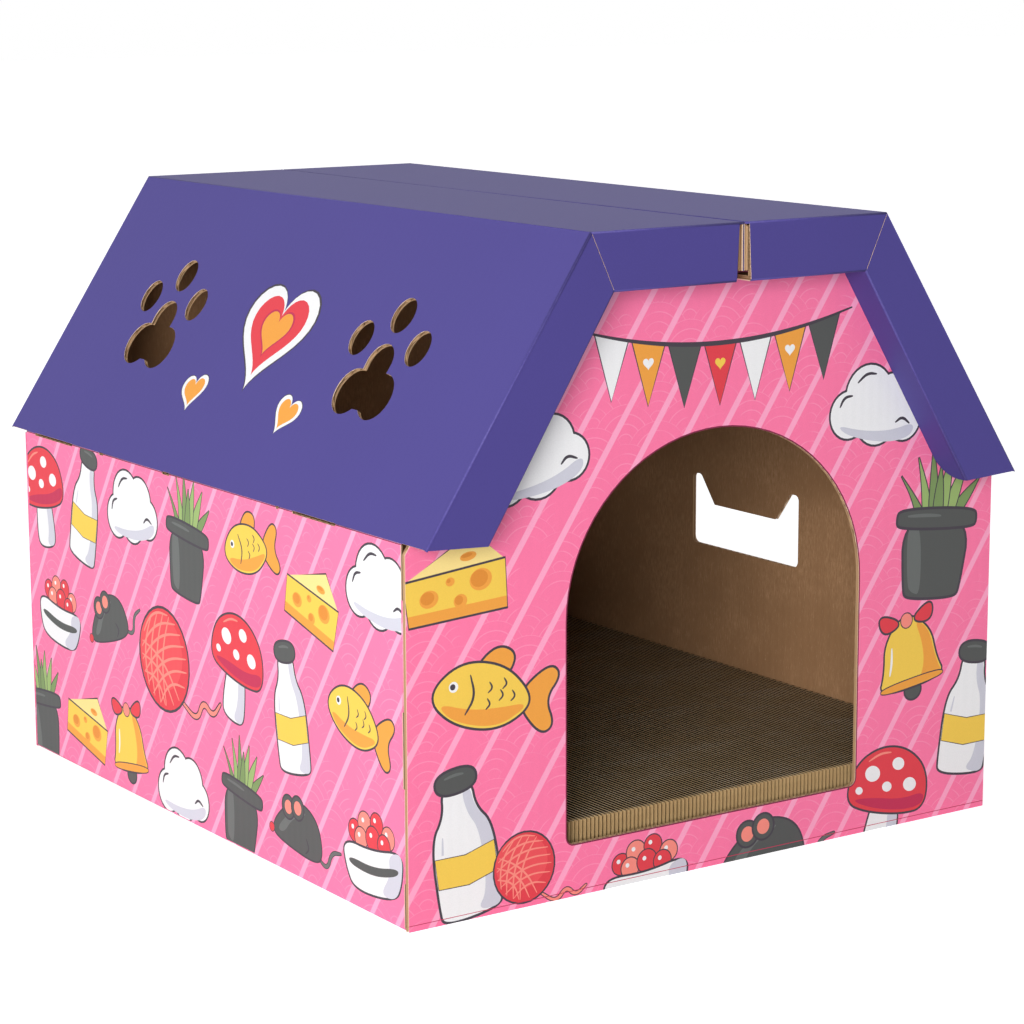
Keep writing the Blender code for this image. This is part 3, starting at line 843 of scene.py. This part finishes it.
# A dark plum band along the eave's crease: partly ink where the pink and violet prints overlap, partly
# painted shade in the crease.
EAVE_INK_AND_SHADE_WIDTH = 0.0005
BEYOND = 1  # how far out a printed line starts and ends, off its panel
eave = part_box("left_side_wall")[1].z
eave_ink_and_shade = polygon((-BEYOND, eave - EAVE_INK_AND_SHADE_WIDTH), (BEYOND, eave - EAVE_INK_AND_SHADE_WIDTH), (BEYOND, eave), (-BEYOND, eave))
side_print = arranged(
    (mushroom, -0.199, 0.165, 8, 1.12),
    (bottle, -0.140, 0.168, -12, 1.2),
    (cloud, -0.078, 0.176, 5, 1.15),
    (grass_pot, -0.010, 0.168, -6, 1.25),
    (fish, 0.060, 0.174, 10, 0.98),
    (cheese, 0.130, 0.160, -10, 1.0),
    (cloud, 0.198, 0.176, -4, 1.15),
    (bowl, -0.180, 0.096, -6, 1.15),
    (toy_mouse, -0.112, 0.103, 14, 0.95),
    (yarn_ball, -0.042, 0.092, 6, 1.5),
    (mushroom, 0.045, 0.104, -10, 1.12),
    (bottle, 0.104, 0.094, 9, 1.2),
    (fish, 0.172, 0.102, -12, 1.05),
    (grass_pot, -0.208, 0.030, 5, 1.2),
    (cheese, -0.146, 0.034, -8, 1.0),
    (bell, -0.090, 0.030, 8, 1.08),
    (cloud, -0.022, 0.020, 3, 1.12),
    (grass_pot, 0.048, 0.030, -7, 1.15),
    (toy_mouse, 0.112, 0.028, -8, 0.98),
    (bowl, 0.188, 0.034, 6, 1.2),
)
side_print.append((eave_ink_and_shade, PLUM))

# Where the corner folds and the eave's fold are cut through: heights, and places along the house.
PERFORATIONS = ((0.0009, 0.0251), (0.0756, 0.1161), (0.1743, 0.2031))
EAVE_CUTS = ((-0.1549, -0.1103), (-0.0958, -0.0928), (0.0298, 0.0384), (0.1138, 0.1191), (0.1557, 0.2079))


def uncut(low, high, cuts):
    """What is left between the cuts of a perforated fold."""
    edges = [low, *[edge for cut in cuts for edge in cut], high]
    return [(start, end) for start, end in zip(edges[::2], edges[1::2]) if end - start > FOLD_RADIUS]


SLIT = 0.0012  # how far the cuts in the eave's fold reach down into the wall
THROUGH = 0.02  # more than a board's thickness


def eave_slits(wall):
    """The cuts in the eave's fold, as blocks to take out of the wall."""
    low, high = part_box(wall)
    blocks = bmesh.new()
    for start, end in EAVE_CUTS:
        block = bmesh.ops.create_cube(blocks, size=1)["verts"]
        bmesh.ops.scale(blocks, vec=(THROUGH, end - start, 2 * SLIT), verts=block)
        bmesh.ops.translate(blocks, vec=((low.x + high.x) / 2, (start + end) / 2, high.z), verts=block)
    return blocks


for side in ("left", "right"):
    wall = side + "_side_wall"
    front_flap, back_flap = (f"{side}_{end}_corner_flap" for end in ("front", "back"))
    folded_to = [side + "_bottom_flap", side + "_roof_slope", front_flap]
    pictures = printing(side_print)
    board(wall, pink_print, folds=folded_to, printed=pictures, slits=eave_slits(wall))
    wall_low, wall_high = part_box(wall)
    full_length = [stretch(BACKWARDS, wall_low.y, wall_high.y)]
    fold(side + "_floor_fold", wall, side + "_bottom_flap", pink_print, full_length)
    bridges = [stretch(BACKWARDS, *span) for span in uncut(wall_low.y, wall_high.y, EAVE_CUTS)]
    # The fold's half on the wall is plum as well: overprint ink, and painted shade in the crease.
    inks = (PLUM, VIOLET)
    fold(side + "_eave_fold", wall, side + "_roof_slope", pink_print, bridges, inks)
    board(back_flap, kraft_liner)
    board(front_flap, kraft_liner, folds=[wall])
    bridges = [stretch(UP, *span) for span in uncut(wall_low.z, wall_high.z, PERFORATIONS)]
    fold(front_flap.replace("flap", "fold"), wall, front_flap, pink_print, bridges)


# Gable walls: one board each, glued to the corner flaps. The front one has raw edges, and its doorway is
# cut square through the board, with a dark line printed round it and a fine line along the floor.
# The back one's liner is turned in over its sides.
DOOR_LINE = 0.0008
DOOR_REACH = (0.15, 0.01, 0.3)  # the doorway lies within this half width, and between these heights
SCORE_HEIGHT = 0.003
SCORE_WIDTH = 0.0004

FLAG_PITCH = 24  # in millimetres, as the other motifs are drawn
FLAG_DROP = 33
STRING_HEIGHT = 303
STRING_SAG = 13
STRING_REACH = 92


def string_at(x):
    """A point of the sagging string that the flags hang from, in millimetres."""
    return Vector((x, STRING_HEIGHT - STRING_SAG * (1 - (x / STRING_REACH) ** 2)))


def pennants():
    """A string of flags across the gable."""
    parts = []
    for i in range(-3, 4):
        x = i * FLAG_PITCH
        half = FLAG_PITCH * 0.44
        flag = [string_at(x) - Vector((0, FLAG_DROP)), string_at(x + half), string_at(x - half)]
        parts += inked(flag, (RED, WHITE, ORANGE, CHARCOAL)[i % 4], 0.9)
        if i % 2 == 0:
            middle = string_at(x) - Vector((0, FLAG_DROP * 0.32))
            parts.append(([spot + middle for spot in heart(0.22)], WHITE if i else YELLOW))
    path = [string_at(STRING_REACH * step / 4) for step in range(-4, 5)]
    parts.append((brush(2.6, *path), PEN))
    return parts


front_print = arranged(
    (cheese, -0.170, 0.184, 8, 1.15),
    (fish, -0.152, 0.118, -10, 1.25),
    (bottle, -0.166, 0.042, 8, 1.35),
    (yarn_ball, -0.128, 0.022, -6, 0.95),
    (cloud, -0.120, 0.240, 12, 1.2),
    (bowl, -0.048, 0.004, 4, 1.15),
    (toy_mouse, 0.036, 0.004, -4, 1.1),
    (mushroom, 0.124, 0.016, -12, 1.15),
    (cloud, 0.112, 0.246, -8, 1.2),
    (grass_pot, 0.158, 0.172, -5, 1.5),
    (bell, 0.140, 0.098, 8, 1.15),
    (bottle, 0.186, 0.062, -8, 1.3),
    (pennants, 0, 0),
)
back_print = arranged(
    (cloud, -0.158, 0.172, 6, 1.3),
    (grass_pot, -0.150, 0.094, -6, 1.4),
    (fish, -0.160, 0.024, 8, 1.2),
    (cheese, -0.080, 0.152, -8, 1.2),
    (bowl, -0.078, 0.066, 4, 1.3),
    (mushroom, -0.085, 0.232, -10, 1.2),
    (yarn_ball, -0.005, 0.195, 8, 1.5),
    (bell, 0.000, 0.112, -4, 1.2),
    (toy_mouse, -0.014, 0.030, -8, 1.15),
    (bottle, 0.082, 0.240, 10, 1.3),
    (cloud, 0.082, 0.152, -6, 1.3),
    (grass_pot, 0.075, 0.062, 6, 1.4),
    (toy_mouse, 0.150, 0.186, 10, 1.15),
    (cheese, 0.158, 0.108, -6, 1.2),
    (mushroom, 0.155, 0.032, 5, 1.2),
    (fish, 0.002, 0.288, -6, 1.15),
)


def doorway_rim():
    """The doorway's own outline, read from the wall."""
    half, low, high = DOOR_REACH
    shape = solid_of("front_wall")
    normal = outer_face("front_wall")[1]
    front = [face for face in shape.faces if face.normal.dot(normal) > SQUARE_ON]
    spots = set()
    for edge in (edge for face in front for edge in face.edges):
        on_rim = sum(face in front for face in edge.link_faces) == 1
        if on_rim and all(abs(vert.co.x) < half and low < vert.co.z < high for vert in edge.verts):
            spots.update(edge.verts)
    middle = sum((vert.co for vert in spots), Vector()) / len(spots)
    ring = sorted(spots, key=lambda vert: math.atan2(vert.co.z - middle.z, vert.co.x - middle.x))
    outline = [Vector((vert.co.x, vert.co.z)) for vert in ring]
    shape.free()
    return outline


score = polygon((-BEYOND, 0), (BEYOND, 0), (BEYOND, SCORE_WIDTH), (-BEYOND, SCORE_WIDTH))
score = [spot + Vector((0, SCORE_HEIGHT)) for spot in score]
front_print += [(grown(doorway_rim(), DOOR_LINE), PLUM), (score, CRIMSON)]
board("front_wall", pink_print, printed=printing(front_print))
side_walls = ["left_side_wall", "right_side_wall"]
board("back_wall", pink_print, folds=side_walls, printed=printing(back_print))
wall_low, wall_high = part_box("back_wall")
for wall in side_walls:
    full_height = [stretch(UP, wall_low.z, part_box(wall)[1].z - FOLD_RADIUS)]
    tail = wall_high.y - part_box(wall)[1].y - FOLD_RADIUS
    edge = wall.replace("side_wall", "back_edge")
    fold(edge, "back_wall", wall, pink_print, full_height, tail=tail)


# Scratch pad: strips of the same board stood on edge and glued side by side, with their flutes open at the
# top. It lies loose on the base panel. Its sawn papers are frayed, and look thicker than they are. The
# flutes' walls carry painted shade, nearly black, away from the sawn ends.
STRIP_PITCH = 0.00266
PAD_LINER = 0.0007  # the two liners that are glued together between one row of flutes and the next
PAD_MEDIUM = 0.00036
PAD_GLUE_GAP = 0.00008
PAD_FLUTE_STEPS = 6
PAD_SLICES = 4  # the pad is built in this many pieces across the house
FLUTE_PACE = (0.94, 1.06)  # how much faster or slower a strip's flutes run than the others'
SAW_STEP = 0.00008  # the most that a strip is sawn lower than the others
PAINTED_SHADE_FROM = (0.002, 0.0055)  # from the pad's sawn ends: where the painted shade on its flutes' walls begins, and where it is full
# how dark the painted shade on the flutes' walls becomes
PAINTED_SHADE_SHARE = 0.97

SAND = (0.62, 0.425, 0.205)
SAND_SHADE = (0.50, 0.335, 0.155)
SAND_LIGHT = (0.80, 0.58, 0.31)
SAWN_PALE = (0.98, 0.80, 0.58)
SAWN_FIBRE = (1.0, 0.90, 0.74)
# painted shade: the colour that stands in for the shadow deep in the flutes
FLUTE_PAINTED_SHADE = (0.022, 0.012, 0.006)

pad_low, pad_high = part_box("scratch_pad")


def flute_paper_with_painted_shade(name):
    """The paper of the open flutes' walls: sandy near the pad's sawn ends, and painted dark between them as
    shade.
    """
    material = kraft_paper(name, SAND, SAND_SHADE, SAND_LIGHT, tooth=0.9, washboard=0.0)
    tree = material.node_tree
    shader = tree.nodes["Principled BSDF"]
    sandy = shader.inputs["Base Color"].links[0].from_socket
    spot = put(tree, "SeparateXYZ", {"Vector": put(tree, "TexCoord").outputs["Object"]})
    start, full = (pad_high.y - depth for depth in PAINTED_SHADE_FROM)
    # painted shade, darkening the flutes' walls with distance from the sawn ends
    painted_shade_mask = stepped(tree, calc(tree, "ABSOLUTE", spot.outputs["Y"]), start, full)
    share = calc(tree, "MULTIPLY", painted_shade_mask, PAINTED_SHADE_SHARE)
    tree.links.new(mixed(tree, share, sandy, FLUTE_PAINTED_SHADE), shader.inputs["Base Color"])
    return material


strip_edges = kraft_paper("strip_edges", SAWN_PALE, SAND_LIGHT, SAWN_FIBRE, tooth=0.9, washboard=0.0)
strip_walls_with_painted_shade = flute_paper_with_painted_shade("strip_walls_with_painted_shade")
strips = round((pad_high.x - pad_low.x) / STRIP_PITCH)
pitch = (pad_high.x - pad_low.x) / strips
draw = random.Random(4)


def flute_row(left, pace, top):
    """One wave of medium on edge, as a closed ribbon between two liners. All start level at the front."""
    ribbon = bmesh.new()
    length = pad_high.y - pad_low.y
    steps = round(length / FLUTE_PITCH * PAD_FLUTE_STEPS)
    bmesh.ops.create_grid(ribbon, x_segments=steps, y_segments=1, size=0.5)
    reach = (pitch - PAD_LINER - PAD_MEDIUM - PAD_GLUE_GAP) / 2
    middle = left + pitch / 2
    height = top - pad_low.z
    for vert in ribbon.verts:
        y = pad_low.y + (vert.co.x + 0.5) * length
        z = pad_low.z + (vert.co.y + 0.5) * height
        wave = 2 * math.pi * (y - pad_low.y) / FLUTE_PITCH * pace
        vert.co = (middle - reach * math.cos(wave), y, z)
    bmesh.ops.solidify(ribbon, geom=ribbon.faces, thickness=PAD_MEDIUM)
    return ribbon


def liner_sheet(x, top):
    """The flat paper between two rows of flutes."""
    sheet = bmesh.new()
    bmesh.ops.create_cube(sheet, size=1)
    size = (PAD_LINER, pad_high.y - pad_low.y, top - pad_low.z)
    bmesh.ops.scale(sheet, vec=size, verts=sheet.verts)
    bmesh.ops.translate(sheet, vec=(x, 0, (top + pad_low.z) / 2), verts=sheet.verts)
    return sheet


for part in range(PAD_SLICES):
    row = bmesh.new()
    for strip in range(strips * part // PAD_SLICES, strips * (part + 1) // PAD_SLICES):
        left = pad_low.x + strip * pitch
        top = pad_high.z - draw.uniform(0, SAW_STEP)
        add_to(row, flute_row(left, draw.uniform(*FLUTE_PACE), top))
        add_to(row, liner_sheet(left + PAD_LINER / 2, top))
    bmesh.ops.recalc_face_normals(row, faces=row.faces)
    for face in row.faces:
        face.material_index = 0 if abs(face.normal.z) > SQUARE_ON else 1
    piece = object_of(f"pad_strips_{part + 1}", row, strip_edges, strip_walls_with_painted_shade)
    mapped(piece.data, BACKWARDS, UP)
    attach(piece, "pad")
    if part == 0:
        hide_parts("scratch_pad")


# Roof: each half is one sheet printed blue violet, creased at the eave, the bend and the ridge.
# Paw prints are cut through the slopes, and the ridge flaps hang side by side under the ridge.
VIOLET_WORN = (0.135, 0.112, 0.35)
violet_print = printed_paper("violet_print", VIOLET, VIOLET_WORN, 0.05)
creases = {joint["name"]: Vector(joint["pos_m"]) for joint in frame["joints"] if joint["type"] == "hinge"}


def ringed_heart(size, ink):
    """A heart with a white border and a pen line round that."""
    return [(heart(size * 1.36), PEN), (heart(size * 1.3), WHITE), (heart(size), ink)]


def heart_print(side):
    """A large heart between the two paw prints, with a small one on each side."""
    eave = creases[side + "_roof_fold"]
    slope_up = (creases[side + "_bend_fold"] - eave).normalized()
    level = eave.dot(slope_up)
    large = [*ringed_heart(1.75, RED), (heart(1.05), CRIMSON), (heart(0.95), ORANGE)]
    small = ringed_heart(0.62, ORANGE)
    left = stamp(small, -0.052, level + 0.052, 10)
    right = stamp(small, 0.056, level + 0.052, -10)
    return stamp(large, 0.0, level + 0.098) + left + right


for side in ("left", "right"):
    slope, top, flap = (f"{side}_{kind}" for kind in ("roof_slope", "roof_top", "ridge_flap"))
    slope_fascias = [f"{side}_{end}_slope_fascia" for end in ("front", "back")]
    top_fascias = [f"{side}_{end}_top_fascia" for end in ("front", "back")]
    inwards = ACROSS_HOUSE if side == "left" else -ACROSS_HOUSE
    hearts = printing(heart_print(side))
    board(slope, violet_print, folds=[side + "_side_wall", top, *slope_fascias], printed=hearts)
    board(top, violet_print, along=inwards, folds=[slope, flap, *top_fascias])
    board(flap, violet_print, folds=[top])
    roof_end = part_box(slope_fascias[1])[1].y - FOLD_RADIUS
    full_length = [stretch(BACKWARDS, -roof_end, roof_end)]
    fold(side + "_bend_fold", slope, top, violet_print, full_length)
    fold(side + "_ridge_fold", top, flap, violet_print, full_length)


# Hems: at both open ends each roof panel folds down into a fascia and back into a return to the gable wall.
# They are the same printed sheet, and their mitres meet at the bend.
MITRE_GAP = 0.0001
HEM_PANELS = ("slope_fascia", "slope_return", "top_fascia", "top_return")

for side in ("left", "right"):
    bend = creases[side + "_bend_fold"]
    eave = creases[side + "_roof_fold"]
    down_slope = (eave - bend).normalized()
    inwards = ACROSS_HOUSE if side == "left" else -ACROSS_HOUSE
    mitre = (down_slope - inwards).normalized()
    for end in ("front", "back"):
        hem = {kind: f"{side}_{end}_{kind}" for kind in HEM_PANELS}
        inner_bend, _ = crease_between(hem["slope_return"], hem["top_return"])
        inner_bend.y = bend.y
        hem_mitre = (inner_bend - bend).cross(BACKWARDS).normalized()
        if hem_mitre.dot(down_slope) < 0:
            hem_mitre.negate()
        ridge_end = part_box(hem["top_return"])[side == "left"]
        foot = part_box(hem["slope_fascia"])[0]
        for kind in ("slope", "top"):
            roof = f"{side}_roof_{kind}"
            fascia, back = hem[kind + "_fascia"], hem[kind + "_return"]
            edge = crease_between(roof, fascia)[1]
            board(fascia, violet_print, along=edge, folds=[roof, back])
            board(back, violet_print, along=BACKWARDS, folds=[fascia])
        ways = {
            "slope": (
                [(bend + mitre * MITRE_GAP, mitre), (eave, -down_slope)],
                [(bend + hem_mitre * MITRE_GAP, hem_mitre), (foot, UP)],
            ),
            "top": (
                [(bend - mitre * MITRE_GAP, -mitre), (creases[side + "_ridge_fold"], -inwards)],
                [(bend - hem_mitre * MITRE_GAP, -hem_mitre), (ridge_end, -inwards)],
            ),
        }
        for kind, (outer_stops, inner_stops) in ways.items():
            roof, fascia, back = f"{side}_roof_{kind}", hem[kind + "_fascia"], hem[kind + "_return"]
            fold(f"{side}_{end}_{kind}_edge_fold", roof, fascia, violet_print, [outer_stops])
            fold(f"{side}_{end}_{kind}_hem_fold", fascia, back, violet_print, [inner_stops])


# Studio: a plain pale floor, soft lamps and the camera at the photograph's angle.
# The floor and the sky are white to the camera, and the floor keeps the house's shadow.
FLOOR_COLOUR = (0.80, 0.80, 0.80, 1)
FLOOR_REACH = 12
SKY_STRENGTH = 0.35
FLOOR_GLOW = 0.74
LAMPS = (
    # place, size, power
    ((-2.15, -2.1, 0.78), 1.3, 70),
    ((-3.0, 0.5, 0.85), 1.3, 24),
)
LAMP_AIM = Vector((0, 0, 0.15))
CAMERA_PLACE = Vector((-0.96065, -1.43681, 0.49219))
CAMERA_YAW = math.radians(34.2256)
CAMERA_PITCH = math.radians(10.7616)
CAMERA_ROLL = math.radians(0.2223)
CAMERA_LENS = 102.444


def in_view(tree):
    """1 for the camera's rays, and for those by which gloss and glass show the background."""
    ray = put(tree, "LightPath")
    seen = calc(tree, "MAXIMUM", ray.outputs["Is Camera Ray"], ray.outputs["Is Glossy Ray"])
    return calc(tree, "MAXIMUM", seen, ray.outputs["Is Transmission Ray"])


floor_shape = bmesh.new()
bmesh.ops.create_grid(floor_shape, x_segments=1, y_segments=1, size=FLOOR_REACH)
floor_paint = bpy.data.materials.new("floor_paint")
floor_paint.use_nodes = True
tree = floor_paint.node_tree
shader = tree.nodes["Principled BSDF"]
shader.inputs["Base Color"].default_value = FLOOR_COLOUR
shader.inputs["Roughness"].default_value = 0.9
shader.inputs["Emission Color"].default_value = (1, 1, 1, 1)
tree.links.new(calc(tree, "MULTIPLY", in_view(tree), FLOOR_GLOW), shader.inputs["Emission Strength"])
floor = object_of("floor", floor_shape, floor_paint)

world = bpy.data.worlds.new("studio")
world.use_nodes = True
tree = world.node_tree
sky = tree.nodes["Background"]
sky.inputs["Color"].default_value = (1, 1, 1, 1)
bright = calc(tree, "MULTIPLY_ADD", in_view(tree), 1 - SKY_STRENGTH)
bright.node.inputs[2].default_value = SKY_STRENGTH
tree.links.new(bright, sky.inputs["Strength"])
bpy.context.scene.world = world

for place, size, power in LAMPS:
    lamp_data = bpy.data.lights.new("lamp", "AREA")
    lamp_data.size = size
    lamp_data.energy = power
    lamp = bpy.data.objects.new("lamp", lamp_data)
    bpy.context.scene.collection.objects.link(lamp)
    lamp.location = place
    lamp.rotation_euler = (LAMP_AIM - lamp.location).to_track_quat("-Z", "Y").to_euler()

camera_data = bpy.data.cameras.new("camera")
camera_data.lens = CAMERA_LENS
camera_data.sensor_width = 36
camera = bpy.data.objects.new("camera", camera_data)
bpy.context.scene.collection.objects.link(camera)
camera.matrix_world = (
    Matrix.Translation(CAMERA_PLACE)
    @ Matrix.Rotation(-CAMERA_YAW, 4, "Z")
    @ Matrix.Rotation(math.pi / 2 - CAMERA_PITCH, 4, "X")
    @ Matrix.Rotation(-CAMERA_ROLL, 4, "Z")
)
bpy.context.scene.camera = camera
bpy.context.scene.view_settings.view_transform = "Standard"
